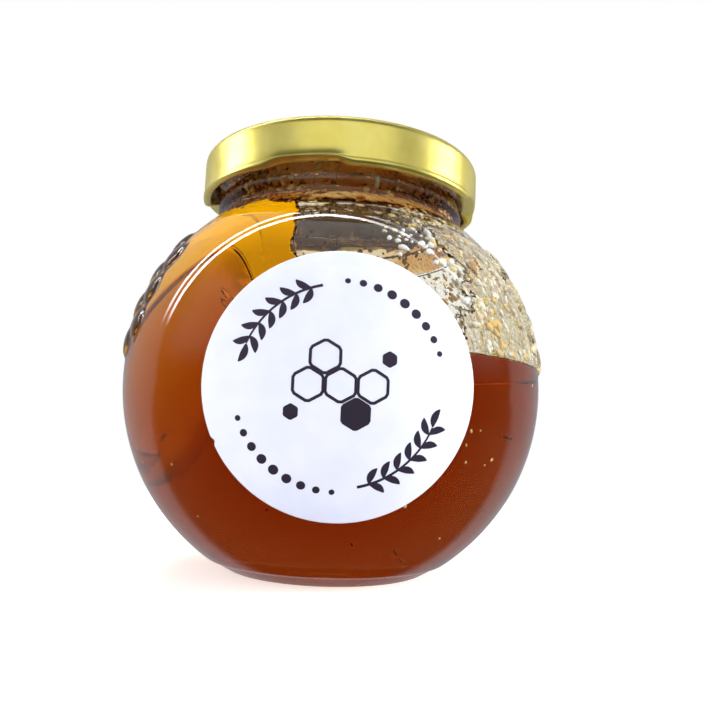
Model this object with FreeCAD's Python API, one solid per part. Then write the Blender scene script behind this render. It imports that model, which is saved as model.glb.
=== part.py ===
import FreeCAD, Part

import math
import os

from FreeCAD import Placement, Rotation, Vector

# A ball-shaped glass jar of honey with a twist-off tin lid and a round paper label.
# Millimetres, +Z up. The origin is on the jar's axis, in the plane that it stands on,
# and the label faces -Y.

# Ball
body_radius = 40.4          # outside of the ball
wall = 2.6                  # glass of the ball
floor_thickness = 4.2       # glass under the honey
inner_heel_round = 8.0      # between the floor and the wall, inside
heel_height = 2.3           # top of the base ring
heel_step = 0.35            # how far the base ring is set back under the ball
foot_radius = 18.54         # where the base ring would meet the table with a sharp edge
bearing_round = 2.4         # outer edge of the bearing face
bearing_width = 4.54        # from the sharp foot in to the hollow under the base
push_up_depth = 1.5         # of that hollow

# Neck and screw finish
mouth_radius = 22.2         # bore of the neck
neck_wall = 1.7             # glass under the ring
neck_round = 1.2            # between the ball's shoulder and the neck
finish_wall = 2.3           # glass between the threads
bead_proud = 0.45           # how far the ring below the thread stands out of that
bead_height = 1.7
bead_rise = 2.03            # middle of the ring above the shoulder
rim_round = 0.8
thread_height = 2.0         # a thread's bar, up and down
thread_proud = 1.35         # how far it stands out of the finish
thread_span = 70.0          # degrees that each bar runs round
thread_slope = 4.4          # degrees
thread_lead = 16.0          # degrees from the middle of a bar to the lug under it
thread_lift = 2.55          # middle of a bar above the lid's lower edge

# Lid
lid_height = 9.0
lid_gap = 0.6               # from the ring on the neck up to the lid
curl_gap = 0.55             # between the curl and the threads
lid_sheet = 0.25            # tinplate
lid_corner = 1.75
skirt_inset = 0.15          # the skirt's outside is this much inside the curl's
curl_radius = 0.8
panel_recess = 0.6          # how far the middle of the top lies below its edge
panel_gap = 0.6             # between the recessed middle and the mouth
panel_slope = 0.8           # width of the step down to the middle
lug_count = 4
lug_span = 26.0             # degrees
lug_azimuth = -15.0         # first lug, degrees from the front towards +X
lug_clearance = 0.5         # between a lug and the finish
lug_thickness = 0.8
thread_gap = 0.1            # play between a lug and its thread

# Honeycomb cells moulded on both sides of the ball
cell_pitch = 7.0
cell_groove = 0.35          # between two cells
cell_proud = 0.8            # height of a cell's crown
cell_columns = 3            # on each side of the middle column
cell_latitude = 24.4        # degrees above the ball's equator, middle of the field
cell_root = 0.8             # how deep a cell's foot is set in the wall

# Label
label_radius = 20.75        # measured straight across
label_thickness = 0.12
label_tilt = -3.65          # degrees above the equator, middle of the label

# Honey
honey_rise = 3.5            # its level above the middle of the ball
bank_edge_x = -7.5          # the face of the honey that leans on the wall at -X
bank_drop = 1.09            # from the foot of the neck down to the top of that honey
bank_foot_round = 5.0       # between the level and that honey

# Sizes that follow from those above
foot_ring_radius = body_radius - heel_step
body_centre_z = math.sqrt(foot_ring_radius**2 - foot_radius**2)
inner_radius = body_radius - wall
push_up_radius = foot_radius - bearing_width
neck_radius = mouth_radius + neck_wall
finish_radius = mouth_radius + finish_wall
bead_radius = finish_radius + bead_proud
shoulder_z = body_centre_z + math.sqrt(body_radius**2 - neck_radius**2)
neck_foot_z = body_centre_z + math.sqrt(inner_radius**2 - mouth_radius**2)
bead_z = shoulder_z + bead_rise
lid_low_z = bead_z + bead_height / 2 + lid_gap
lid_top_z = lid_low_z + lid_height
rim_z = lid_top_z - lid_sheet
lid_radius = finish_radius + thread_proud + curl_gap + 2 * curl_radius
panel_radius = mouth_radius - panel_gap
honey_level = body_centre_z + honey_rise
bank_top = neck_foot_z - bank_drop


def circle_half_width(radius, centre_z, z):
    """Distance from the axis of a circle's outline at height z."""
    return math.sqrt(radius**2 - (z - centre_z) ** 2)


def on_circle(radius, centre_z, degrees):
    """Point of a circle round the ball's axis, by its angle above the horizontal."""
    angle = math.radians(degrees)
    return Vector(radius * math.cos(angle), 0, centre_z + radius * math.sin(angle))


def line(start, end):
    return Part.LineSegment(start, end).toShape()


def arc(start, middle, end):
    return Part.Arc(start, middle, end).toShape()


def arc_between(radius, centre_z, start, end):
    """Arc about the axis point at centre_z from one of its points to another."""
    def angle(point):
        return math.degrees(math.atan2(point.z - centre_z, point.x))

    middle = on_circle(radius, centre_z, (angle(start) + angle(end)) / 2)
    return arc(start, middle, end)


def lathe(edges, degrees=360.0):
    """Turns a closed outline in the XZ plane about Z."""
    face = Part.Face(Part.Wire(Part.__sortEdges__(edges)))
    return face.revolve(Vector(0, 0, 0), Vector(0, 0, 1), degrees)


def sector(edges, span):
    """Turns a closed outline through a number of degrees, centred on the front (-Y)."""
    return turned(lathe(edges, span), -90 - span / 2)


def rounded(solid, round_radius, ring_radius, ring_z):
    """Rounds the solid's circular edges of one radius and height."""
    tolerance = 1e-3
    rings = []
    for edge in solid.Edges:
        if edge.Degenerated or not isinstance(edge.Curve, Part.Circle):
            continue
        same_size = abs(edge.Curve.Radius - ring_radius) < tolerance
        same_height = abs(edge.Curve.Center.z - ring_z) < tolerance
        if same_size and same_height:
            rings.append(edge)
    return solid.makeFillet(round_radius, rings)


def turned(shape, degrees):
    """A copy turned about Z, from the front (-Y) towards +X for positive degrees."""
    copy = shape.copy()
    copy.rotate(Vector(0, 0, 0), Vector(0, 0, 1), degrees)
    return copy


def outer_body():
    """The jar as if it were solid glass, without threads and cells."""
    foot = Vector(foot_radius, 0, 0)
    ring_top = Vector(circle_half_width(foot_ring_radius, body_centre_z, heel_height), 0, heel_height)
    ball_low = Vector(circle_half_width(body_radius, body_centre_z, heel_height), 0, heel_height)
    ball_high = Vector(neck_radius, 0, shoulder_z)
    bead_low = Vector(neck_radius, 0, bead_z - bead_height / 2)
    bead_high = Vector(finish_radius, 0, bead_z + bead_height / 2)
    bead_crest = Vector(bead_radius, 0, bead_z)
    rim = Vector(finish_radius, 0, rim_z)
    solid = lathe([
        line(Vector(0, 0, 0), foot),
        arc_between(foot_ring_radius, body_centre_z, foot, ring_top),
        line(ring_top, ball_low),
        arc_between(body_radius, body_centre_z, ball_low, ball_high),
        line(ball_high, bead_low),
        arc(bead_low, bead_crest, bead_high),
        line(bead_high, rim),
        line(rim, Vector(0, 0, rim_z)),
        line(Vector(0, 0, rim_z), Vector(0, 0, 0)),
    ])
    solid = rounded(solid, bearing_round, foot.x, 0)
    return rounded(solid, neck_round, neck_radius, shoulder_z)


def cavity(top_z):
    """The space inside the glass, from its floor up to top_z."""
    floor = Vector(circle_half_width(inner_radius, body_centre_z, floor_thickness), 0, floor_thickness)
    mouth_low = Vector(mouth_radius, 0, neck_foot_z)
    mouth_high = Vector(mouth_radius, 0, top_z)
    solid = lathe([
        line(Vector(0, 0, floor_thickness), floor),
        arc_between(inner_radius, body_centre_z, floor, mouth_low),
        line(mouth_low, mouth_high),
        line(mouth_high, Vector(0, 0, top_z)),
        line(Vector(0, 0, top_z), Vector(0, 0, floor_thickness)),
    ])
    return rounded(solid, inner_heel_round, floor.x, floor_thickness)


def push_up():
    """The shallow hollow under the base."""
    radius = (push_up_radius**2 + push_up_depth**2) / (2 * push_up_depth)
    return Part.makeSphere(radius, Vector(0, 0, push_up_depth - radius))


def thread_z(degrees):
    """Height of a bar's middle line, some degrees past the middle of the bar."""
    rise = finish_radius * math.sin(math.radians(degrees)) * math.tan(math.radians(thread_slope))
    return lid_low_z + thread_lift + rise


def thread_bars():
    """One slanting bar with rounded ends over each lug of the lid."""
    bar = thread_height / 2
    path_radius = finish_radius + thread_proud - bar
    ends = []
    for degrees in (-thread_span / 2, thread_span / 2):
        angle = math.radians(degrees)
        ends.append(Vector(path_radius * math.sin(angle), -path_radius * math.cos(angle), 0))
    solid = sector(
        [Part.makeCircle(bar, Vector(path_radius, 0, 0), Vector(0, 1, 0))], thread_span)
    for end in ends:
        solid = solid.fuse(Part.makeSphere(bar, end))
    solid.rotate(Vector(0, 0, 0), Vector(0, 1, 0), -thread_slope)
    solid.translate(Vector(0, 0, thread_z(0)))
    step = 360.0 / lug_count
    return [turned(solid, lug_azimuth - thread_lead + step * i) for i in range(lug_count)]


def cell():
    """One lens-shaped honeycomb cell, on the ball's +X side at its equator."""
    across_flats = cell_pitch - cell_groove
    corner = across_flats / math.sqrt(3)
    corners = []
    for i in range(7):
        angle = math.radians(60 * i)
        corners.append(Vector(body_radius - cell_root, corner * math.cos(angle), corner * math.sin(angle)))
    prism = Part.Face(Part.makePolygon(corners)).extrude(Vector(cell_root + 2 * cell_proud, 0, 0))
    ball_sag = corner**2 / (2 * body_radius)
    lens_sag = cell_proud + ball_sag
    lens_radius = (corner**2 + lens_sag**2) / (2 * lens_sag)
    lens = Part.makeSphere(lens_radius, Vector(body_radius + cell_proud - lens_radius, 0, 0))
    return prism.common(lens)


def cell_field():
    """The cells of both sides, laid out over the ball round the middle of each field."""
    template = cell()
    to_latitude = Rotation(Vector(0, 1, 0), -cell_latitude)
    column_step = cell_pitch * math.cos(math.radians(30))
    cells = []
    for side in (0, 180):
        to_side = Rotation(Vector(0, 0, 1), side)
        for column in range(-cell_columns, cell_columns + 1):
            rows = (-1, 0, 1) if column % 2 else (-1.5, -0.5, 0.5, 1.5)
            for row in rows:
                sideways, up = column * column_step, row * cell_pitch
                spread = math.degrees(math.hypot(sideways, up) / body_radius)
                away = Rotation(Vector(0, -up, sideways), spread)
                copy = template.copy()
                copy.Placement = Placement(Vector(0, 0, 0), to_side * to_latitude * away)
                copy.translate(Vector(0, 0, body_centre_z))
                cells.append(copy)
    return cells


def glass_jar():
    solid = outer_body().cut(cavity(rim_z + rim_round)).cut(push_up())
    solid = rounded(solid, rim_round, mouth_radius, rim_z)
    solid = rounded(solid, rim_round, finish_radius, rim_z)
    return solid.multiFuse(thread_bars() + cell_field())


def lid():
    """A tin shell with a curled edge, lugs pressed in from the curl and a recessed top."""
    curl_z = lid_low_z + curl_radius
    skirt_radius = lid_radius - skirt_inset

    def shell(inset):
        """The lid's outside, drawn in by inset everywhere."""
        radius, top = skirt_radius - inset, lid_top_z - inset
        corner = lid_corner - inset
        bend = corner * math.sin(math.radians(45))
        centre = Vector(radius - corner, 0, top - corner)
        return lathe([
            line(Vector(0, 0, curl_z), Vector(radius, 0, curl_z)),
            line(Vector(radius, 0, curl_z), Vector(radius, 0, top - corner)),
            arc(Vector(radius, 0, top - corner), centre + Vector(bend, 0, bend),
                Vector(radius - corner, 0, top)),
            line(Vector(radius - corner, 0, top), Vector(panel_radius + panel_slope, 0, top)),
            line(Vector(panel_radius + panel_slope, 0, top),
                 Vector(panel_radius, 0, top - panel_recess)),
            line(Vector(panel_radius, 0, top - panel_recess), Vector(0, 0, top - panel_recess)),
            line(Vector(0, 0, top - panel_recess), Vector(0, 0, curl_z)),
        ])

    def ring_part(inside, outside, low, high):
        """A block of square section, as long round the lid as one lug."""
        corners = [Vector(inside, 0, low), Vector(outside, 0, low),
                   Vector(outside, 0, high), Vector(inside, 0, high)]
        edges = [line(corners[i], corners[(i + 1) % 4]) for i in range(4)]
        return sector(edges, lug_span)

    lug_high = thread_z(thread_lead - lug_span / 2) - thread_height / 2 - thread_gap
    lug_low = lug_high - lug_thickness
    curl_inside = lid_radius - 2 * curl_radius
    lug = ring_part(finish_radius + lug_clearance, skirt_radius - lid_sheet / 2, lug_low, lug_high)
    notch = ring_part(curl_inside - curl_radius, lid_radius + curl_radius, lid_low_z - curl_radius, lug_low)
    turns = [lug_azimuth + 360.0 / lug_count * i for i in range(lug_count)]

    solid = shell(0).cut(shell(lid_sheet))
    solid = solid.fuse(Part.makeTorus(lid_radius - curl_radius, curl_radius, Vector(0, 0, curl_z)))
    solid = solid.cut(Part.makeCompound([turned(notch, degrees) for degrees in turns]))
    return solid.multiFuse([turned(lug, degrees) for degrees in turns])


def label():
    """A paper disc that follows the ball."""
    centre = Vector(0, 0, body_centre_z)
    outside = Part.makeSphere(body_radius + label_thickness, centre)
    sheet = outside.cut(Part.makeSphere(body_radius, centre))
    punch = Part.makeCylinder(label_radius, 2 * body_radius, centre, Vector(0, -1, 0))
    punch.rotate(centre, Vector(1, 0, 0), -label_tilt)
    return sheet.common(punch)


def honey():
    """The filling up to its level, with what still leans on the wall on one side."""
    hollow = Part.makeBox(2 * body_radius, 2 * body_radius, body_radius,
                          Vector(bank_edge_x, -body_radius, honey_level))
    foot = [edge for edge in hollow.Edges
            if abs(edge.BoundBox.XMax - bank_edge_x) < 1e-6
            and abs(edge.BoundBox.ZMax - honey_level) < 1e-6]
    hollow = hollow.makeFillet(bank_foot_round, foot)
    return cavity(bank_top).cut(hollow)


def main():
    os.makedirs("parts", exist_ok=True)
    pieces = {
        "glass_jar": glass_jar(),
        "honey": honey(),
        "lid": lid(),
        "label": label(),
    }
    for name, shape in pieces.items():
        shape.exportStep(os.path.join("parts", name + ".step"))
        box = shape.BoundBox
        print(name, "solids", len(shape.Solids), "valid", shape.isValid(),
              "volume ml", round(shape.Volume / 1000, 2),
              "box", [round(v, 2) for v in (box.XMin, box.XMax, box.YMin, box.YMax, box.ZMin, box.ZMax)])


main()
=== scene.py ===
import math

import bmesh
import bpy
import numpy as np
from mathutils import Matrix, Vector


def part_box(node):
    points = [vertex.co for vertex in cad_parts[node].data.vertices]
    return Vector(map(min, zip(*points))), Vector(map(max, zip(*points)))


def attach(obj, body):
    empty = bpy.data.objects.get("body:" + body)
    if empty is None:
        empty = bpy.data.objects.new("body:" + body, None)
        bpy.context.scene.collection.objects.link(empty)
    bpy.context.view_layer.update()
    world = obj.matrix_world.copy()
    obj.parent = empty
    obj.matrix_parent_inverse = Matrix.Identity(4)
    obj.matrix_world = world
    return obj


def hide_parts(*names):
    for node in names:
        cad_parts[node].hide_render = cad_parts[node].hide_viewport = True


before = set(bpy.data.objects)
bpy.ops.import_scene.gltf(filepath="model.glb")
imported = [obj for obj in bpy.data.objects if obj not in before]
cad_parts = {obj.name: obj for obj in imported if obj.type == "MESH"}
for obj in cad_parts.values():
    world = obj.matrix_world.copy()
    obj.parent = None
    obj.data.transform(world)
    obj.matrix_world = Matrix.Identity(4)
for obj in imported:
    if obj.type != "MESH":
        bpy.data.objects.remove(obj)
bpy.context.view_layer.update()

MM = 0.001
ROOT = "root"

# ---------------------------------------------------------------- sizes, in metres
_, jar_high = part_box("glass_jar")
lid_low, lid_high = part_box("lid")
label_low, label_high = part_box("label")
honey_low, honey_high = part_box("honey")

BALL_R = jar_high.y                       # outside of the ball
BALL_Z = 35.5 * MM                        # its centre
RIM_Z = jar_high.z
LID_R = lid_high.x
LID_TOP = lid_high.z
LID_BOTTOM = lid_low.z
LABEL_R = (label_high.x - label_low.x) / 2
LABEL_TILT = math.radians(-3.65)          # middle of the label, above the ball's equator
INNER_R = -honey_low.x                    # inside of the ball
FLOOR_Z = honey_low.z                     # glass floor under the honey
LEVEL_Z = 39.0 * MM
MOUTH_R = 22.2 * MM
NECK_R = 23.9 * MM
FINISH_R = 24.5 * MM
BEAD_R = 24.95 * MM
BEAD_Z = 70.1 * MM
BEAD_HALF = 0.85 * MM
HEEL_Z = 2.3 * MM
HEEL_STEP = 0.35 * MM
FOOT_R = 17.9 * MM                        # the ring that the jar stands on, out to where it rounds up
PUSH_UP_R = 14.0 * MM
PUSH_UP_DEPTH = 1.5 * MM
INNER_HEEL = 8.0 * MM                     # round between floor and wall inside
RIM_ROUND = 0.8 * MM
OVERLAP = 0.12 * MM                       # how far the honey reaches into the glass

THREAD_PROUD = 1.35 * MM
THREAD_HALF = 1.0 * MM
THREAD_SPAN = math.radians(70)
THREAD_SLOPE = math.radians(4.4)
THREAD_LEAD = math.radians(16)
THREAD_Z = LID_BOTTOM + 2.55 * MM
LUG_AZIMUTH = math.radians(-15)
LUG_COUNT = 4

CELL_PITCH = 7.0 * MM
CELL_GROOVE = 0.35 * MM
CELL_PROUD = 0.78 * MM
CELL_COLUMNS = 3
CELL_LATITUDE = math.radians(24.4)


# ---------------------------------------------------------------- numbers that look random
def mix_bits(ix, iy, iz, seed):
    """A number from 0 to 1 for each lattice point, the same on every run."""
    h = (ix * 374761393 + iy * 668265263 + iz * 2147483647 + seed * 974634777) & 0xFFFFFFFF
    h = ((h ^ (h >> 13)) * 1274126177) & 0xFFFFFFFF
    h = (h ^ (h >> 16)) & 0xFFFFFFFF
    return h / 4294967295.0


def noise(points, size, seed):
    """Smooth noise from -1 to 1 at an array of points, with bumps about `size` across."""
    p = np.asarray(points) / size
    base = np.floor(p).astype(np.int64)
    t = p - base
    t = t * t * t * (t * (t * 6 - 15) + 10)
    total = np.zeros(p.shape[:-1])
    for dx in (0, 1):
        for dy in (0, 1):
            for dz in (0, 1):
                weight = (np.where(dx, t[..., 0], 1 - t[..., 0])
                          * np.where(dy, t[..., 1], 1 - t[..., 1])
                          * np.where(dz, t[..., 2], 1 - t[..., 2]))
                total += weight * mix_bits(base[..., 0] + dx, base[..., 1] + dy, base[..., 2] + dz, seed)
    return total * 2 - 1


def cells(points, size, seed):
    """Distance to the nearest and second nearest of scattered points, in units of size."""
    p = np.asarray(points) / size
    base = np.floor(p).astype(np.int64)
    first = np.full(p.shape[:-1], 9.0)
    second = np.full(p.shape[:-1], 9.0)
    for dx in (-1, 0, 1):
        for dy in (-1, 0, 1):
            for dz in (-1, 0, 1):
                i, j, k = base[..., 0] + dx, base[..., 1] + dy, base[..., 2] + dz
                q = np.stack([i + mix_bits(i, j, k, seed), j + mix_bits(i, j, k, seed + 1),
                              k + mix_bits(i, j, k, seed + 2)], -1)
                d = np.linalg.norm(p - q, axis=-1)
                second = np.minimum(second, np.maximum(first, d))
                first = np.minimum(first, d)
    return first, second


def smooth_step(low, high, x):
    t = np.clip((x - low) / (high - low), 0, 1)
    return t * t * (3 - 2 * t)


# ---------------------------------------------------------------- mesh helpers
def new_object(name, verts, faces, material, replaced=(), smooth=True):
    """A mesh piece of the part, riding on the one body, with one material or several."""
    mesh = bpy.data.meshes.new(name)
    mesh.from_pydata(np.asarray(verts, float).tolist(), [], [tuple(f) for f in faces])
    mesh.validate()
    mesh.update()
    if smooth:
        mesh.polygons.foreach_set("use_smooth", np.ones(len(mesh.polygons), bool))
    obj = bpy.data.objects.new(name, mesh)
    bpy.context.scene.collection.objects.link(obj)
    for one in material if isinstance(material, (list, tuple)) else [material]:
        obj.data.materials.append(one)
    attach(obj, ROOT)
    for node in replaced:
        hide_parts(node)
    return obj


def grid_faces(rows, columns, closed=True, offset=0):
    """Faces between neighbouring points of a grid, closed round its columns or open."""
    i = np.arange(rows - 1)[:, None]
    j = np.arange(columns if closed else columns - 1)[None, :]
    k = (j + 1) % columns
    a, b = i * columns + j, i * columns + k
    c, d = (i + 1) * columns + k, (i + 1) * columns + j
    return (np.stack([a, b, c, d], -1).reshape(-1, 4) + offset).tolist()


def fan(ring, centre, flip):
    """Triangles from a ring of point numbers to one middle point."""
    n = len(ring)
    out = []
    for i in range(n):
        a, b = ring[i], ring[(i + 1) % n]
        out.append((b, a, centre) if flip else (a, b, centre))
    return out


def turn(radius, azimuth, z):
    """Points at a radius, azimuth (0 is the front, positive to the right) and height."""
    return np.stack([radius * np.sin(azimuth), -radius * np.cos(azimuth), z + 0 * radius], -1)


def lofted(grid):
    """Closed skin over a grid of rings whose first and last rings shrink to a point."""
    rows, columns = grid.shape[:2]
    verts = grid.reshape(-1, 3).tolist()
    faces = grid_faces(rows, columns)
    bottom, top = len(verts), len(verts) + 1
    verts += [grid[0].mean(0).tolist(), grid[-1].mean(0).tolist()]
    faces += fan(list(range(columns)), bottom, True)
    faces += fan(list(range((rows - 1) * columns, rows * columns)), top, False)
    return verts, faces


def arc_points(centre_r, centre_z, radius, start, end, step):
    """Points of an arc in the profile plane, angles in degrees above the horizontal."""
    count = max(2, int(abs(math.radians(end - start)) * radius / step))
    angles = np.radians(np.linspace(start, end, count))
    return np.stack([centre_r + radius * np.cos(angles), centre_z + radius * np.sin(angles)], -1)


def straight(a, b, step):
    count = max(2, int(math.dist(a, b) / step))
    t = np.linspace(0, 1, count)[:, None]
    return np.array(a) * (1 - t) + np.array(b) * t


def soften(points, step, width):
    """Rounds the corners of a profile by averaging along it, after even resampling."""
    points = np.asarray(points)
    keep = np.r_[True, np.linalg.norm(np.diff(points, axis=0), axis=1) > 1e-7]
    points = points[keep]
    length = np.r_[0, np.cumsum(np.linalg.norm(np.diff(points, axis=0), axis=1))]
    even = np.arange(0, length[-1], step)
    r = np.interp(even, length, points[:, 0])
    z = np.interp(even, length, points[:, 1])
    half = int(3 * width / step)
    kernel = np.exp(-0.5 * (np.arange(-half, half + 1) * step / width) ** 2)
    kernel /= kernel.sum()

    def average(values, mirrored):
        first = values[half:0:-1] * (-1 if mirrored else 1)
        last = values[-2:-half - 2:-1] * (-1 if mirrored else 1)
        return np.convolve(np.r_[first, values, last], kernel, "valid")

    return np.stack([average(r, True), average(z, False)], -1)


def pick_rows(profile, spacing):
    """Every profile point that lies `spacing(r, z, i)` beyond the last one picked."""
    rows, last = [1], profile[1]
    for i in range(2, len(profile) - 1):
        if np.linalg.norm(profile[i] - last) >= spacing(profile[i][0], profile[i][1], i):
            rows.append(i)
            last = profile[i]
    return rows


# ---------------------------------------------------------------- the glass
def inner_profile(step):
    """Inside of the glass, from the middle of the floor up to the rim."""
    low = math.degrees(math.asin((FLOOR_Z - BALL_Z) / INNER_R))
    high = math.degrees(math.acos(MOUTH_R / INNER_R))
    floor_r = INNER_R * math.cos(math.radians(low))
    heel = INNER_HEEL * math.tan(math.radians(90 + low) / 2)
    reach = math.degrees(heel / INNER_R)
    round_end = arc_points(0, BALL_Z, INNER_R, low + reach, low + reach + 0.5, step)[0]
    t = np.linspace(0, 1, 60)[:, None]
    start, corner = np.array([floor_r - heel, FLOOR_Z]), np.array([floor_r, FLOOR_Z])
    bend = (1 - t) ** 2 * start + 2 * t * (1 - t) * corner + t**2 * round_end
    return np.concatenate([
        straight((0, FLOOR_Z), start, step), bend,
        arc_points(0, BALL_Z, INNER_R, low + reach, high, step),
        straight((MOUTH_R, BALL_Z + INNER_R * math.sin(math.radians(high))),
                 (MOUTH_R, RIM_Z - RIM_ROUND), step),
    ])


def outer_profile(step):
    """Outside of the glass, from the middle of the base up to the rim."""
    ring_r = BALL_R - HEEL_STEP
    foot = math.degrees(math.asin(-BALL_Z / ring_r))
    ring_top = math.degrees(math.asin((HEEL_Z - BALL_Z) / ring_r))
    ball_low = math.degrees(math.asin((HEEL_Z - BALL_Z) / BALL_R))
    ball_high = math.degrees(math.acos(NECK_R / BALL_R))
    dome = (PUSH_UP_R**2 + PUSH_UP_DEPTH**2) / (2 * PUSH_UP_DEPTH)
    dome_angle = math.degrees(math.asin(PUSH_UP_R / dome))
    bead = arc_points(0, 0, 1, -90, 90, 0.1)
    bead_r = np.interp(bead[:, 1], [-1, 1], [NECK_R, FINISH_R])
    bead_r = bead_r + bead[:, 0] * (BEAD_R - bead_r)
    return np.concatenate([
        arc_points(0, PUSH_UP_DEPTH - dome, dome, 90, 90 - dome_angle, step),
        straight((PUSH_UP_R, 0), (FOOT_R, 0), step),
        arc_points(0, BALL_Z, ring_r, foot + 0.7, ring_top, step),
        arc_points(0, BALL_Z, BALL_R, ball_low, ball_high, step),
        straight((NECK_R, BALL_Z + BALL_R * math.sin(math.radians(ball_high))),
                 (NECK_R, BEAD_Z - BEAD_HALF), step),
        np.stack([bead_r, BEAD_Z + bead[:, 1] * BEAD_HALF], -1),
        straight((FINISH_R, BEAD_Z + BEAD_HALF), (FINISH_R, RIM_Z - 0.9 * MM), step),
        straight((FINISH_R - 0.5 * MM, RIM_Z - 0.05 * MM), (MOUTH_R + 0.5 * MM, RIM_Z - 0.05 * MM), step),
    ])


def relief(azimuth, lat):
    """Height of the moulded cells over the ball at each azimuth and latitude."""
    n = np.stack([np.cos(lat) * np.sin(azimuth), -np.cos(lat) * np.cos(azimuth), np.sin(lat)], -1)
    height = np.zeros(azimuth.shape)
    flat = (CELL_PITCH - CELL_GROOVE) / 2
    corner = 2 * flat / math.sqrt(3)
    lens_sag = CELL_PROUD + corner**2 / (2 * BALL_R)
    lens_r = (corner**2 + lens_sag**2) / (2 * lens_sag)
    column_step = CELL_PITCH * math.cos(math.radians(30))
    for side in (-1, 1):
        middle = np.array([side * math.cos(CELL_LATITUDE), 0, math.sin(CELL_LATITUDE)])
        east = np.array([0, side, 0])
        north = np.array([-side * math.sin(CELL_LATITUDE), 0, math.cos(CELL_LATITUDE)])
        angle = np.arccos(np.clip(n @ middle, -1, 1))
        u, v = n @ east, n @ north
        flat_length = np.maximum(np.hypot(u, v), 1e-9)
        u, v = u / flat_length * angle * BALL_R, v / flat_length * angle * BALL_R
        for column in range(-CELL_COLUMNS, CELL_COLUMNS + 1):
            rows = (-1, 0, 1) if column % 2 else (-1.5, -0.5, 0.5, 1.5)
            for row in rows:
                du, dv = u - column * column_step, v - row * CELL_PITCH
                reach = np.maximum(np.abs(dv), np.abs(dv) / 2 + np.abs(du) * math.sqrt(3) / 2)
                distance2 = du**2 + dv**2
                lens = CELL_PROUD - distance2 / (2 * lens_r) + distance2 / (2 * BALL_R)
                edge = smooth_step(flat + 0.12 * MM, flat - 0.9 * MM, reach)
                height = np.maximum(height, np.where(angle < 1.2, lens * edge, 0))
    return np.maximum(height, 0)


def thread_height(azimuth, z):
    """How far the slanting bars of the thread stand out of the finish."""
    out = np.zeros(azimuth.shape)
    for i in range(LUG_COUNT):
        middle = LUG_AZIMUTH - THREAD_LEAD + i * 2 * math.pi / LUG_COUNT
        past = (azimuth - middle + math.pi) % (2 * math.pi) - math.pi
        line_z = THREAD_Z + FINISH_R * np.sin(past) * math.tan(THREAD_SLOPE)
        end = np.maximum(np.abs(past) - THREAD_SPAN / 2, 0) * FINISH_R
        away = np.hypot(z - line_z, end) / THREAD_HALF
        out = np.maximum(out, THREAD_PROUD * np.sqrt(np.clip(1 - away**2, 0, 1)))
    return out


def column_azimuths():
    """Azimuths of the mesh columns, closer together over the moulded cells."""
    fine, coarse, edge = 0.62, 1.3, 42
    out, a = [], -180.0
    while a < 180 - 0.5:
        out.append(a)
        a += fine if abs(abs(a) - 90) < edge else coarse
    return np.radians(np.array(out))


def build_glass(material, wet_material):
    """The whole jar as one skin, with its wetted inner faces in a material of their own."""
    step = 0.1 * MM
    outer = outer_profile(step)
    inner = inner_profile(step)[::-1]
    profile = soften(np.concatenate([outer, inner]), step, 0.28 * MM)
    top = int(np.argmax(profile[:, 1]))

    def spacing(r, z, i):
        lat = math.degrees(math.atan2(z - BALL_Z, r))
        inside, by_rim = i > top, z > RIM_Z - 2 * MM
        foot, finish = z < 4 * MM and r > 13 * MM, z > 66 * MM
        if inside:
            return 0.5 * MM if by_rim else 1.7 * MM
        if foot:
            return 0.45 * MM
        if finish:
            return 0.3 * MM
        has_cells = 4 < lat < 46
        return 0.48 * MM if has_cells else 1.5 * MM

    rows = pick_rows(profile, spacing)
    azimuth = column_azimuths()
    r = np.repeat(profile[rows, 0][:, None], len(azimuth), 1)
    z = np.repeat(profile[rows, 1][:, None], len(azimuth), 1)
    a = np.repeat(azimuth[None, :], len(rows), 0)
    outside = (np.array(rows) <= top)[:, None]
    lat = np.arctan2(z - BALL_Z, r)
    ball = outside & (lat > 0) & (lat < math.radians(50))
    lift = np.where(ball, relief(a, lat), 0)
    r = r + lift * np.cos(lat)
    z = z + lift * np.sin(lat)
    screw = outside & (z > BEAD_Z + BEAD_HALF) & (z < RIM_Z - 1 * MM)
    r = r + np.where(screw, thread_height(a, z), 0)
    verts, faces = lofted(turn(r, a, z))
    obj = new_object("jar_glass", verts, faces, [material, wet_material], ["glass_jar"])
    middle = np.array([p.center for p in obj.data.polygons])
    facing = np.array([p.normal for p in obj.data.polygons])
    inside = (middle[:, :2] * facing[:, :2]).sum(1) < -1e-4 * np.linalg.norm(middle[:, :2], axis=1)
    inside |= (np.abs(middle[:, 2] - FLOOR_Z) < 0.6 * MM) & (facing[:, 2] > 0)
    covered = (middle[:, 2] < LEVEL_Z) | (emptiness(middle) < 0) | (film_depth(middle) > 0)
    wet = inside & covered & (middle[:, 2] < RIM_Z - 4 * MM)
    obj.data.polygons.foreach_set("material_index", wet.astype(np.int32))


# ---------------------------------------------------------------- the honey
# The lighter honey on the left is partly clearer honey and partly painted backlight. It lies over the
# darker filling along a slanting surface.
BANK_EDGE_X = -7.5 * MM                   # face of the honey that leans on the left wall
BANK_BLEND = 8 * MM                       # round between that face and the level
BANK_TOP_Z = honey_high.z - 1.2 * MM
BANK_OVERLAP = 0.45 * MM                  # how far it reaches into the darker honey under it
SHADE_MIDDLE = np.array([-22, 0, 38]) * MM    # a point of the slanting surface between the two shades
SHADE_SLOPE_X = 0.35
SHADE_SLOPE_Y = -0.62
NECK_FOOT_Z = BALL_Z + math.sqrt(INNER_R**2 - MOUTH_R**2)
NECK_FILM_Z = 64.2 * MM                   # from here up the film is browner
FILM_TOP_Z = RIM_Z - 3.6 * MM
NECK_EDGE_WOBBLE = 0.15                   # how much of the wobble stays in the neck
OPEN_POINT = np.array([7, 0, 63]) * MM    # in the air above the honey


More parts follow.
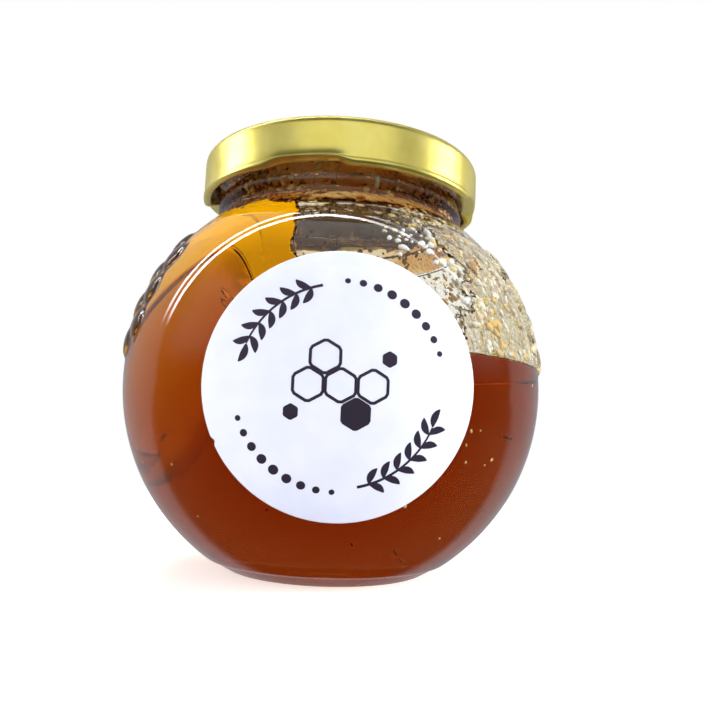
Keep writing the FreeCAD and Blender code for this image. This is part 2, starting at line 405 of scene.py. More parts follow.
def wall_rows(low_z, high_z, step):
    """Inside wall between two heights: radius, height and the normal into the jar of each row."""
    profile = soften(inner_profile(0.1 * MM), 0.1 * MM, 0.5 * MM)
    slope = np.gradient(profile, axis=0)
    normal = np.stack([-slope[:, 1], slope[:, 0]], -1)
    normal /= np.linalg.norm(normal, axis=1)[:, None]
    keep = (profile[:, 1] > low_z) & (profile[:, 1] < high_z)
    profile, normal = profile[keep], normal[keep]
    take = np.unique(np.linspace(0, len(profile) - 1, int(len(profile) * 0.1 * MM / step)).astype(int))
    return profile[take], normal[take]


def spread_round(rows, azimuth):
    """A profile's rows turned to each azimuth, as a grid of points."""
    r = np.repeat(rows[:, 0][:, None], len(azimuth), 1)
    z = np.repeat(rows[:, 1][:, None], len(azimuth), 1)
    return turn(r, np.repeat(azimuth[None, :], len(rows), 0), z)


def emptiness(points):
    """Above zero in the air over the honey: to the right of the leaning mass and over the level."""
    z = points[..., 2]
    wobble = 0.6 * MM * noise(points, 2.6 * MM, 3) + 0.4 * MM * noise(points, 1.1 * MM, 4)
    wobble = wobble + 0.6 * MM * noise(points, 8 * MM, 5)
    near_wall = smooth_step(2.2 * MM, 0.2 * MM, INNER_R - np.linalg.norm(points - [0, 0, BALL_Z], axis=-1))
    edge_x = BANK_EDGE_X + wobble * np.where(z > NECK_FOOT_Z, NECK_EDGE_WOBBLE, near_wall)
    within = points[..., 0] - edge_x
    above = z - LEVEL_Z
    h = np.clip(0.5 + 0.5 * (within - above) / BANK_BLEND, 0, 1)
    over_level = within * (1 - h) + above * h - BANK_BLEND * h * (1 - h)
    return np.maximum(over_level, z - BANK_TOP_Z - 1.2 * wobble)


def shade_height(x, y):
    """Height of the surface between the darker filling and the lighter honey over it, whose lighter colour
    is partly painted backlight.
    """
    share = smooth_step(BANK_EDGE_X - 1.0 * MM, BANK_EDGE_X - 12 * MM, x)
    leaning = SHADE_MIDDLE[2] + SHADE_SLOPE_Y * y + SHADE_SLOPE_X * (x - SHADE_MIDDLE[0])
    return LEVEL_Z + share * (leaning - LEVEL_Z)


def shade_edge(azimuth):
    """Where that surface meets the inside wall: radius and height at each azimuth."""
    z = np.full(len(azimuth), LEVEL_Z)
    for _ in range(30):
        r = np.sqrt(INNER_R**2 - (z - BALL_Z) ** 2)
        z = 0.5 * z + 0.5 * shade_height(r * np.sin(azimuth), -r * np.cos(azimuth))
    return np.sqrt(INNER_R**2 - (z - BALL_Z) ** 2), z


def bank_depth(points):
    """How far the mass on the left reaches from wall points towards the open point."""
    towards = OPEN_POINT - points
    reach = np.linalg.norm(towards, axis=-1)
    low, high = np.zeros(reach.shape), 0.97 * reach
    towards = towards / reach[..., None]
    bare = emptiness(points)
    for _ in range(20):
        middle = (low + high) / 2
        full = emptiness(points + towards * middle[..., None]) < 0
        low, high = np.where(full, middle, low), np.where(full, high, middle)
    return np.where(bare < 0, low, -bare), towards


def where_present(depth, share, absent):
    """A depth that fades to an absent one, below zero, as its share falls from one to none."""
    return depth * share - (1 - share) * absent


def film_depth(points):
    """Honey left on the bare wall above the level, in metres; below zero is bare glass."""
    z = points[..., 2]
    azimuth = np.arctan2(points[..., 0], -points[..., 1])
    large, _ = cells(points, 2.3 * MM, 11)
    small, _ = cells(points, 1.1 * MM, 15)
    right = smooth_step(math.radians(12), math.radians(44), azimuth)
    right = right * smooth_step(math.radians(178), math.radians(150), azimuth)
    crust = 0.30 * MM * (0.85 - large) + 0.26 * MM * (0.75 - small)
    crust = crust + 0.3 * MM * noise(points, 6 * MM, 13) - 0.03 * MM
    crust = where_present(crust, right, 0.5 * MM)

    drops, _ = cells(points, 1.7 * MM, 21)
    spots = 0.8 * MM * (0.36 - drops) + 0.16 * MM * noise(points, 6 * MM, 22)
    spots = where_present(spots, smooth_step(57 * MM, 62 * MM, z), 0.4 * MM)

    neck = smooth_step(62.5 * MM, 65 * MM, z + 1.2 * MM * noise(points, 5 * MM, 26))
    back = smooth_step(math.radians(125), math.radians(150), np.abs(azimuth))
    smear = 0.75 * MM + 0.5 * MM * (0.6 - small) + 0.3 * MM * noise(points, 4 * MM, 24)
    smear = where_present(smear * (1 - 0.75 * back), neck, 0.6 * MM)

    film = np.maximum.reduce([crust, spots, smear])
    bank = np.where(emptiness(points) < 0.4 * MM, -1 * MM, 1 * MM)
    ends = smooth_step(RIM_Z - 4.5 * MM, RIM_Z - 7 * MM, z) * smooth_step(LEVEL_Z, LEVEL_Z + 0.6 * MM, z)
    return np.minimum(where_present(film, ends, 0.5 * MM), bank)


def coat(name, buried, free, bare, material):
    """Closed honey skin between two sheets of points, left out where both sheets meet."""
    rows, columns = bare.shape
    bare = bare.copy()
    bare[0] = bare[-1] = True
    bare[:, 0] = bare[:, -1] = True
    quads = np.array(grid_faces(rows, columns, False))
    quads = quads[~bare.reshape(-1)[quads].all(1)]
    count = rows * columns
    upper = np.where(bare.reshape(-1), np.arange(count), np.arange(count) + count)
    faces = np.concatenate([quads, upper[quads][:, ::-1]])
    used, faces = np.unique(faces, return_inverse=True)
    verts = np.concatenate([buried.reshape(-1, 3), free.reshape(-1, 3)])[used]
    new_object(name, verts, faces.reshape(-1, 4).tolist(), material)


def build_bank(material):
    """The lighter honey that leans on the left wall, over the slanting surface between the shades. Its
    lighter colour is partly clearer honey and partly painted backlight.

    Its near sheet lies on that surface and the wall, and each point's far sheet is found by a
    search from there towards a point in the air.
    """
    azimuth = np.radians(np.arange(-180, 0.01, 0.62))
    edge_r, edge_z = shade_edge(azimuth)
    share = np.linspace(0.02, 0.997, 64)[:, None]
    x, y = share * edge_r * np.sin(azimuth), -share * edge_r * np.cos(azimuth)
    flat = np.stack([x, y, shade_height(x, y)], -1)
    neck, _ = wall_rows(NECK_FOOT_Z - 0.4 * MM, RIM_Z - 3.2 * MM, 0.6 * MM)
    top_angle = math.atan2(neck[0, 1] - BALL_Z, neck[0, 0])
    climb = np.linspace(0.004, 1, 86)[:, None]
    low_angle = np.arctan2(edge_z - BALL_Z, edge_r)
    angle = low_angle + climb * (top_angle - low_angle)
    ball_wall = turn(INNER_R * np.cos(angle), azimuth + 0 * angle, BALL_Z + INNER_R * np.sin(angle))
    points = np.concatenate([flat, ball_wall, spread_round(neck[1:], azimuth)])
    bulged = turn((INNER_R + OVERLAP) * np.cos(angle), azimuth + 0 * angle,
                  BALL_Z + (INNER_R + OVERLAP) * np.sin(angle))
    buried = np.concatenate([flat - [0, 0, BANK_OVERLAP], bulged,
                             spread_round(neck[1:] + [OVERLAP, 0], azimuth)])
    depth, towards = bank_depth(points)
    on_shade = np.zeros(depth.shape, bool)
    on_shade[:len(flat)] = True
    least = -0.3 * OVERLAP
    thin = on_shade & (depth * towards[..., 2] < 0.1 * MM) & (points[..., 2] > LEVEL_Z - 0.2 * MM)
    bare = (depth < least) | thin
    free = points + towards * np.maximum(depth, least)[..., None]
    bare |= points[..., 2] > FILM_TOP_Z
    coat("honey_bank", buried, free, bare, material)


def build_film(name, low_z, high_z, azimuth, material):
    """Drops and crust of honey on the bare wall."""
    wall, normal = wall_rows(low_z, high_z, 0.34 * MM)
    points = spread_round(wall, azimuth)
    depth = film_depth(points)
    bare = depth < -OVERLAP
    buried = spread_round(wall - normal * OVERLAP, azimuth)
    inward = spread_round(wall + normal * 1.0, azimuth) - points
    free = points + inward * np.maximum(depth, -OVERLAP)[..., None]
    coat(name, buried, free, bare, material)


def build_filling(material):
    """The darker honey up to the level, set just into the glass."""
    azimuth = np.linspace(-math.pi, math.pi, 400, endpoint=False)
    edge_r, edge_z = shade_edge(azimuth)
    heel_z = 13 * MM
    wall, normal = wall_rows(FLOOR_Z - 1 * MM, heel_z, 1.0 * MM)
    keep = wall[:, 0] > 1.5 * MM
    low = spread_round(wall[keep] - normal[keep] * OVERLAP, azimuth)

    meniscus, meniscus_width = 0.5 * MM, 0.9 * MM
    start = math.atan2(heel_z - BALL_Z, math.sqrt(INNER_R**2 - (heel_z - BALL_Z) ** 2))
    share = np.linspace(0, 1, 40)[1:, None]
    angle = start + share * (np.arctan2(edge_z + meniscus - BALL_Z, edge_r) - start)
    radius = INNER_R + OVERLAP
    basin = turn(radius * np.cos(angle), azimuth + 0 * angle, BALL_Z + radius * np.sin(angle))

    by_wall = [0.0, 0.25, 0.6, 1.1, 1.8, 2.8, 4.0, 5.5, 7.5]
    inward = np.r_[by_wall, np.arange(10, 35, 3), 36] * MM
    share = np.maximum(1 - inward[:, None] / edge_r, 0.01)
    x, y = share * edge_r * np.sin(azimuth), -share * edge_r * np.cos(azimuth)
    climb = meniscus * np.exp(-inward / meniscus_width)[:, None]
    top = np.stack([x, y, shade_height(x, y) + climb], -1)
    ripple = smooth_step(0, 6 * MM, inward)[:, None] * smooth_step(-12 * MM, 0, x)
    top[..., 2] += 0.12 * MM * noise(top, 9 * MM, 31) * ripple
    verts, faces = lofted(np.concatenate([low, basin, top]))
    new_object("honey_fill", verts, faces, material, ["honey"])


# ---------------------------------------------------------------- the lid
def build_lid(material, inner_material):
    """Tinplate shell with a curled edge that is pressed in at the lugs."""
    sheet = 0.25 * MM
    skirt = LID_R - 0.15 * MM
    corner = 1.75 * MM
    panel_r, recess, slope = 21.6 * MM, 0.6 * MM, 0.8 * MM
    curl = 0.8 * MM
    step = 0.08 * MM
    curl_z = LID_BOTTOM + curl

    def top_side(inset):
        top, radius = LID_TOP - inset, skirt - inset
        bend = corner - inset
        return np.concatenate([
            straight((0, top - recess), (panel_r, top - recess), step),
            straight((panel_r, top - recess), (panel_r + slope, top), step),
            straight((panel_r + slope, top), (radius - bend, top), step),
            arc_points(radius - bend, top - bend, bend, 90, 0, step),
        ])

    skirt_top = LID_TOP - corner
    outside = np.concatenate([
        top_side(0),
        straight((skirt, skirt_top), (skirt, curl_z + 0.55 * MM), step),
    ])
    roll = arc_points(LID_R - curl, curl_z, curl, 40, -235, step)
    inside = np.concatenate([
        straight((skirt - sheet, curl_z + 0.6 * MM), (skirt - sheet, skirt_top), step),
        top_side(sheet)[::-1],
    ])
    profile = soften(np.concatenate([outside, roll, inside]), step, 0.16 * MM)

    def spacing(r, z, i):
        if r < panel_r - 1.5 * MM:
            return 2.5 * MM
        bent = z < curl_z + 1.2 * MM or z > LID_TOP - 2.2 * MM
        return 0.22 * MM if bent else 0.8 * MM

    rows = pick_rows(profile, spacing)
    columns = 360
    azimuth = np.linspace(-math.pi, math.pi, columns, endpoint=False)
    a = np.repeat(azimuth[None, :], len(rows), 0)
    r = np.repeat(profile[rows, 0][:, None], columns, 1)
    z = np.repeat(profile[rows, 1][:, None], columns, 1)
    pressed = np.zeros(a.shape)
    for i in range(LUG_COUNT):
        past = (a - LUG_AZIMUTH - i * 2 * math.pi / LUG_COUNT + math.pi) % (2 * math.pi) - math.pi
        pressed = np.maximum(pressed, smooth_step(math.radians(18), math.radians(10), np.abs(past)))
    push = pressed * smooth_step(curl_z + 2.2 * MM, curl_z + 0.2 * MM, z)
    lug_z, lug_share = curl_z + 0.75 * MM, 0.45
    z = z * (1 - push) + (lug_z + (z - curl_z) * lug_share) * push
    within = np.clip((LID_R - 0.4 * MM - r) / (1.2 * MM), 0, 1)
    r = r - push * (0.25 * MM + 1.15 * MM * within)
    verts, faces = lofted(turn(r, a, z))
    faces = [tuple(reversed(f)) for f in faces]
    obj = new_object("lid_tin", verts, faces, [material, inner_material], ["lid"])

    middle = np.array([f.center for f in obj.data.polygons])
    facing = np.array([f.normal for f in obj.data.polygons])
    under = (facing[:, 2] < -0.3) & (middle[:, 2] > LID_BOTTOM + 3 * MM)
    away = ((middle[:, :2] * facing[:, :2]).sum(1) < 0) & (middle[:, 2] > curl_z + 1.0 * MM)
    away &= np.hypot(middle[:, 0], middle[:, 1]) > 25 * MM
    obj.data.polygons.foreach_set("material_index", (under | away).astype(np.int32))
    return obj


# ---------------------------------------------------------------- the label
LABEL_ARC = BALL_R * math.asin(LABEL_R / BALL_R)   # radius of the flat paper
PAPER = 0.10 * MM
PRINT_TOP, PRINT_BOTTOM = PAPER + 0.016 * MM, PAPER - 0.05 * MM
LINE = 0.46 * MM                                   # width of a printed line


def on_label(points, height):
    """Points of the flat label, x right and y up from its middle, laid on the ball."""
    p = np.asarray(points, float)
    away = np.maximum(np.hypot(p[..., 0], p[..., 1]), 1e-12)
    angle = away / BALL_R
    out = np.array([0, -math.cos(LABEL_TILT), math.sin(LABEL_TILT)])
    up = np.array([0, math.sin(LABEL_TILT), math.cos(LABEL_TILT)])
    side = np.array([1.0, 0, 0])
    flat = (p[..., :1] * side + p[..., 1:2] * up) / away[..., None]
    n = np.cos(angle)[..., None] * out + np.sin(angle)[..., None] * flat
    return np.array([0, 0, BALL_Z]) + n * (BALL_R + height)


def slab(outline, centre, shares, top, bottom):
    """Closed thin plate on the label: an outline and smaller copies of it round its middle."""
    outline, centre = np.asarray(outline, float), np.asarray(centre, float)
    rings = np.array([centre + (outline - centre) * share for share in shares])
    count, n = rings.shape[:2]
    verts = np.concatenate([on_label(rings, top), on_label(rings[-1:], bottom)]).reshape(-1, 3).tolist()
    faces = grid_faces(count + 1, n)
    verts.append(on_label(centre, top).tolist())
    faces += fan(list(range(n)), len(verts) - 1, True)
    verts.append(on_label(centre, bottom).tolist())
    faces += fan(list(range(count * n, count * n + n)), len(verts) - 1, False)
    return verts, [tuple(reversed(f)) for f in faces]


def ribbon(path, widths):
    """A printed line of changing width: a closed thin strip along flat points."""
    path, widths = np.asarray(path, float), np.asarray(widths, float)
    along = np.gradient(path, axis=0)
    along /= np.maximum(np.linalg.norm(along, axis=1), 1e-12)[:, None]
    across = np.stack([-along[:, 1], along[:, 0]], -1) * widths[:, None] / 2
    left, right = path + across, path - across
    n = len(path)
    verts = np.concatenate([on_label(left, PRINT_TOP), on_label(right, PRINT_TOP),
                            on_label(right, PRINT_BOTTOM), on_label(left, PRINT_BOTTOM)]).tolist()
    faces = []
    for i in range(n - 1):
        for k in range(4):
            a, b = k * n + i, ((k + 1) % 4) * n + i
            faces.append((a, a + 1, b + 1, b))
    faces.append((0, n, 2 * n, 3 * n))
    faces.append((4 * n - 1, 3 * n - 1, 2 * n - 1, n - 1))
    return verts, [tuple(reversed(f)) for f in faces]


def filled(outline, centre, shares):
    return slab(outline, centre, shares, PRINT_TOP, PRINT_BOTTOM)


def dot(centre, radius):
    t = np.linspace(0, 2 * math.pi, 28, endpoint=False)
    outline = centre + radius * np.stack([np.cos(t), np.sin(t)], -1)
    return filled(outline, centre, (0.5, 1))


def hexagon(centre, radius, solid):
    """A cell with its corners cut a little, printed full or as a line."""
    t = np.radians(60 * np.arange(7) + 30)
    corners = centre + radius * np.stack([np.cos(t), np.sin(t)], -1)
    share = np.linspace(0.12, 0.88, 5)[:, None]
    points = np.concatenate([a * (1 - share) + b * share for a, b in zip(corners, corners[1:])])
    if solid:
        return filled(points, centre, (0.4, 0.75, 1))
    path = np.concatenate([points, points[:2]])
    return ribbon(path, np.full(len(path), LINE))


def leaf(foot, heading, length, width):
    t = np.linspace(0.02, 0.98, 12)
    bend = 0.12 * length * np.sin(math.pi * t)
    along = np.array([math.cos(heading), math.sin(heading)])
    across = np.array([-along[1], along[0]])
    path = foot + np.outer(t * length, along) + np.outer(bend, across)
    return ribbon(path, width * np.sin(math.pi * t) ** 0.8)


def sprig(start):
    """A stem along the label's edge, with pairs of leaves and one at its tip."""
    t = np.radians(np.linspace(start, start + 56, 26))
    stem = 15.6 * MM * np.stack([np.cos(t), np.sin(t)], -1)
    parts = [ribbon(stem, np.linspace(LINE, LINE * 0.6, len(t)))]
    for k in range(3, 24, 4):
        for way in (-1, 1):
            heading = t[k] + math.pi / 2 - way * math.radians(48)
            parts.append(leaf(stem[k], heading, 2.9 * MM, 1.15 * MM))
    parts.append(leaf(stem[-1], t[-1] + math.pi / 2, 3.1 * MM, 1.2 * MM))
    return parts


def label_pattern():
    """A plain pattern: a cluster of honeycomb cells, two sprigs and two rows of dots."""
    size, pitch = 2.55 * MM, 4.75 * MM
    parts = []
    for degrees in (0, 120, 180, 300):
        a = math.radians(degrees)
        parts.append(hexagon(pitch * np.array([math.cos(a), math.sin(a)]), size, degrees == 300))
    parts.append(hexagon(np.zeros(2), size, False))
    aside = pitch * np.array([1.5, math.sin(math.radians(60))])
    for centre in (aside, -aside):
        parts.append(hexagon(centre, size * 0.5, True))
    for start in (102, -78):
        parts += sprig(start)
    for k in range(9):
        radius = (0.45 + 0.35 * math.sin(math.pi * k / 8)) * MM
        for half_turn in (0, math.pi):
            a = math.radians(20 + k * 8.5) + half_turn
            parts.append(dot(16.2 * MM * np.array([math.cos(a), math.sin(a)]), radius))
    return parts


def build_label(paper, ink):
    """The paper disc, with one small nick in its edge, and its print."""
    angle = np.linspace(0, 2 * math.pi, 180, endpoint=False)
    nick, nick_depth, nick_width = math.radians(206), 0.45 * MM, 0.012
    away = (angle - nick + math.pi) % (2 * math.pi) - math.pi
    edge = LABEL_ARC - nick_depth * np.exp(-(away / nick_width) ** 2)
    outline = np.stack([edge * np.cos(angle), edge * np.sin(angle)], -1)
    shares = (0.08, 0.2, 0.34, 0.48, 0.62, 0.76, 0.88, 0.95, 0.985, 1)
    verts, faces = slab(outline, (0, 0), shares, PAPER, 0.0)
    new_object("label_paper", verts, faces, paper, ["label"])
    verts, faces = [], []
    for more_verts, more_faces in label_pattern():
        faces += [tuple(i + len(verts) for i in face) for face in more_faces]
        verts += more_verts
    new_object("label_print", verts, faces, ink, smooth=False)


# ---------------------------------------------------------------- small things in and over the honey
def unit_ball():
    """Points and triangles of a round ball."""
    bm = bmesh.new()
    bmesh.ops.create_icosphere(bm, subdivisions=2, radius=1.0)
    verts = np.array([v.co for v in bm.verts])
    faces = np.array([[v.index for v in face.verts] for face in bm.faces])
    bm.free()
    return verts, faces


def scattered(name, places, sizes, seed, material):
    """One piece of many small uneven lumps lying flat on the inside wall."""
    rng = np.random.default_rng(seed)
    unit, triangles = unit_ball()
    count = len(places)
    in_neck = (places[:, 2] > NECK_FOOT_Z)[:, None]
    out = np.where(in_neck, places * [1, 1, 0], places - [0, 0, BALL_Z])
    out = out / np.linalg.norm(out, axis=1)[:, None]
    level = np.cross(out, [0.0, 0.0, 1.0])
    level /= np.linalg.norm(level, axis=1)[:, None]
    up = np.cross(level, out)
    spin = rng.uniform(0, math.pi, count)[:, None]
    side, rise = level * np.cos(spin) + up * np.sin(spin), up * np.cos(spin) - level * np.sin(spin)
    lumpy = unit[None] * rng.uniform(0.82, 1.15, (count, len(unit)))[..., None]
    verts = np.repeat(places[:, None], len(unit), 1)
    long = sizes * rng.uniform(0.9, 1.5, count)
    wide = sizes * rng.uniform(0.6, 0.95, count)
    deep = sizes * 0.55
    for k, (axis, length) in enumerate(((side, long), (rise, wide), (out, deep))):
        verts = verts + lumpy[..., k:k + 1] * (axis * length[:, None])[:, None]
    faces = triangles[None] + (np.arange(count) * len(unit))[:, None, None]
    new_object(name, verts.reshape(-1, 3), faces.reshape(-1, 3).tolist(), material)


def wall_points(azimuth, height, depth):
    """Points at a depth behind the inside wall's surface."""
    in_ball = height < NECK_FOOT_Z
    across = np.sqrt(np.maximum(INNER_R**2 - (height - BALL_Z) ** 2, 0))
    points = turn(np.where(in_ball, across, MOUTH_R), azimuth, height)
    centre = np.where(in_ball[:, None], [0, 0, BALL_Z], points * [0, 0, 1])
    out = points - centre
    return points - out / np.linalg.norm(out, axis=1)[:, None] * depth[:, None]


def build_grains():
    """Crystals of honey left on the wall at the right and in the neck: white, golden and brown."""
    rng = np.random.default_rng(5)
    tries = 7000
    azimuth = rng.uniform(math.radians(2), math.radians(358), tries)
    lowest, span = LEVEL_Z + 0.5 * MM, RIM_Z - 4.2 * MM - LEVEL_Z
    height = lowest + span * rng.uniform(0, 1, tries)
    size = (0.26 + 0.62 * rng.uniform(0, 1, tries) ** 2) * MM
    places = wall_points(azimuth, height, size * 0.45)
    in_neck = height > NECK_FILM_Z
    dense = smooth_step(math.radians(10), math.radians(42), azimuth + 0.012 * (height - 50 * MM) / MM)
    dense = dense * smooth_step(math.radians(186), math.radians(160), azimuth)
    dense = dense * (1 - 0.6 * smooth_step(math.radians(95), math.radians(120), azimuth))
    dense = np.where(in_neck, 0.24, dense * (0.7 + 0.75 * noise(places, 4.5 * MM, 41)))
    kept = (rng.uniform(0, 1, tries) < dense) & (in_neck | (emptiness(places) > 0.8 * MM))
    shade = rng.uniform(0, 1, tries) + 0.45 * noise(places, 4 * MM, 42) + np.where(in_neck, 0.5, -0.08)
    kinds = (("honey_grains_white", shade < 0.5, (0.97, 0.96, 0.92)),
             ("honey_grains_gold", (shade >= 0.5) & (shade < 1.05), (0.92, 0.66, 0.26)),
             ("honey_grains_brown", shade >= 1.05, (0.42, 0.20, 0.07)))
    for name, chosen, colour in kinds:
        picked = kept & chosen
        scattered(name, places[picked], size[picked], 6, grain_material(name, colour))


def build_specks():
    """Single bright grains held in the honey by the wall."""
    rng = np.random.default_rng(9)
    count = 64
    azimuth = np.radians(rng.uniform(-180, 180, count))
    height = BALL_Z + INNER_R * np.sin(np.radians(rng.uniform(-48, 2, count)))
    size = rng.uniform(0.12, 0.28, count) * MM
    scattered("honey_specks", wall_points(azimuth, height, size * 0.6), size, 8,
              grain_material("honey_specks", (0.98, 0.86, 0.66)))


# ---------------------------------------------------------------- materials
def node(tree, kind, *values, **named):
    """A new node. Its inputs, in order or by name, take a value, a socket or a node's first output."""
    made = tree.nodes.new("ShaderNode" + kind)
    inputs = list(zip(made.inputs, values))
    inputs += [(made.inputs[key.replace("_", " ")], value) for key, value in named.items()]
    for socket, value in inputs:
        if isinstance(value, bpy.types.Node):
            value = value.outputs[0]
        if isinstance(value, bpy.types.NodeSocket):
            tree.links.new(value, socket)
        else:
            socket.default_value = value
    return made


def empty_tree(owner):
    owner.use_nodes = True
    owner.node_tree.nodes.clear()
    return owner.node_tree


def blank_material(name):
    material = bpy.data.materials.new(name)
    return material, empty_tree(material)


def math_node(tree, operation, *values):
    made = node(tree, "Math", *values)
    made.operation = operation
    return made


def is_any(tree, *names):
    """One for a ray of any of these kinds, else nothing."""
    paths = node(tree, "LightPath")
    total, *others = [paths.outputs[name] for name in names]
    for other in others:
        total = math_node(tree, "MAXIMUM", total, other)
    return total


def ramp_between(tree, value, low, high, at_low, at_high):
    """A smooth step of a socket's value."""
    step = node(tree, "MapRange", Value=value, From_Min=low, From_Max=high, To_Min=at_low, To_Max=at_high)
    step.interpolation_type = "SMOOTHSTEP"
    return step


def mottling(tree, scale, detail):
    """Noise that stays put on the object."""
    place = node(tree, "TexCoord").outputs["Object"]
    return node(tree, "TexNoise", Vector=place, Scale=scale, Detail=detail).outputs["Fac"]


def two_tones(tree, mottle, low, first, second):
    """A colour between two, by a noise."""
    ramp = node(tree, "ValToRGB", mottle)
    for stop, place, colour in zip(ramp.color_ramp.elements, (low, 0.7), (first, second)):
        stop.position, stop.color = place, (*colour, 1)
    return ramp


def unevenness(tree, scale, detail, strength, distance):
    return node(tree, "Bump", Strength=strength, Distance=distance, Height=mottling(tree, scale, detail))


def clear_shader(tree, colour, index, shine, lamp_tint, **more):
    """Clear stuff that rays from lamps cross unbent, so that what is inside is lit."""
    body = node(tree, "BsdfPrincipled", Base_Color=(*colour, 1), Roughness=0.0, IOR=index,
                Transmission_Weight=1.0, Specular_Tint=(shine, shine, shine, 1), **more)
    crossed = node(tree, "BsdfTransparent", Color=(*lamp_tint, 1))
    return node(tree, "MixShader", is_any(tree, "Is Shadow Ray"), body, crossed)


def glass_material(name, shine):
    """Clear glass. Where honey wets it there is no jump in index, so there it has no shine."""
    material, tree = blank_material(name)
    glass = clear_shader(tree, (0.97, 0.985, 0.98), 1.51, shine, (0.96, 0.98, 0.97),
                         Normal=unevenness(tree, 70.0, 2.0, 0.12, 0.0004))
    node(tree, "OutputMaterial", Surface=glass)
    return material


def honey_material(name, tint, per_metre, shine):
    """Clear syrup that takes this much off each colour in a metre."""
    material, tree = blank_material(name)
    density = 3000.0
    colour = tuple(1 - k / density for k in per_metre)
    soak = node(tree, "VolumeAbsorption", Color=(*colour, 1), Density=density)
    syrup = clear_shader(tree, tint, 1.49, shine, (0.98, 0.92, 0.8))
    node(tree, "OutputMaterial", Surface=syrup, Volume=soak)
    return material


def opaque_material(name, look):
    """A material whose shader has the inputs that look gives for its tree."""
    material, tree = blank_material(name)
    node(tree, "OutputMaterial", Surface=node(tree, "BsdfPrincipled", **look(tree)))
    return material


def grain_material(name, colour):
    return opaque_material(name, lambda tree: {"Base_Color": (*colour, 1), "Roughness": 0.15, "IOR": 1.5})


def gold_look(tree):
    mottle = mottling(tree, 260.0, 4.0)
    return {"Metallic": 0.9,
            "Base_Color": two_tones(tree, mottle, 0.35, (0.68, 0.58, 0.12), (0.76, 0.67, 0.19)),
            "Roughness": node(tree, "MapRange", Value=mottle, To_Min=0.26, To_Max=0.36),
            "Normal": unevenness(tree, 2200.0, 2.0, 0.06, 0.0001)}


def lacquer_look(tree):
    """Lacquer inside the lid, browned by the honey on it."""
    smear = mottling(tree, 150.0, 3.0)
    return {"Roughness": 0.4,
            "Base_Color": two_tones(tree, smear, 0.35, (0.60, 0.48, 0.38), (0.93, 0.87, 0.78))}


def paper_look(tree):
    cloud = mottling(tree, 160.0, 5.0)
    return {"Roughness": 0.62,
            "Base_Color": two_tones(tree, cloud, 0.3, (0.76, 0.79, 0.95), (0.84, 0.86, 0.98)),
            "Normal": unevenness(tree, 1800.0, 3.0, 0.1, 0.0001)}


def ink_look(tree):
    return {"Base_Color": (0.030, 0.020, 0.042, 1), "Roughness": 0.45}


# ---------------------------------------------------------------- the studio
BACK_LIGHT = 0.48
FRONT_LIGHT = 0.5
# place, half width, strength at the left and at the right
ARCHES = ((0.135, 0.017, 17.0, 4.0), (0.215, 0.014, 12.0, 0.0))


def mirrored_light(tree):
    """What shiny things reflect: a bright back, a dark front below, and two arches of light."""
    def product(first, *others):
        for other in others:
            first = math_node(tree, "MULTIPLY", first, other)
        return first

    coords = node(tree, "TexCoord")
    x, y, z = node(tree, "SeparateXYZ", coords.outputs["Generated"]).outputs
    back = ramp_between(tree, y, 0.20, 0.30, 0.0, BACK_LIGHT)
    ahead = ramp_between(tree, y, 0.35, -0.1, 0.0, 1.0)
    rise = ramp_between(tree, z, 0.05, 0.3, 0.03, FRONT_LIGHT)
    fall = ramp_between(tree, z, 0.62, 0.75, 1.0, 0.08)
    total = math_node(tree, "ADD", back, product(rise, fall, ahead))
    aside = math_node(tree, "ADD", y, product(x, 0.13))
    for place, half, at_left, at_right in ARCHES:
        off_arch = math_node(tree, "ABSOLUTE", math_node(tree, "SUBTRACT", aside, place))
        arch = product(ramp_between(tree, off_arch, half + 0.006, half - 0.006, 0.0, 1.0),
                       ramp_between(tree, z, 0.3, 0.5, 0.0, 1.0),
                       ramp_between(tree, x, -0.1, 0.45, at_left, at_right))
        total = math_node(tree, "ADD", total, arch)
    return total


def build_world():
    world = bpy.data.worlds.new("studio")
    bpy.context.scene.world = world
    tree = empty_tree(world)
    soft = node(tree, "Background", Color=(0.96, 0.98, 1.0, 1), Strength=0.45)
    white = node(tree, "Background", Color=(1, 1, 1, 1), Strength=1.0)
    mirrored = node(tree, "Background", Color=(0.97, 0.96, 1.0, 1), Strength=mirrored_light(tree))
    bounced = node(tree, "MixShader", is_any(tree, "Is Glossy Ray"), soft, mirrored)
    shown = is_any(tree, "Is Camera Ray", "Is Transmission Ray")
    node(tree, "OutputWorld", Surface=node(tree, "MixShader", shown, bounced, white))


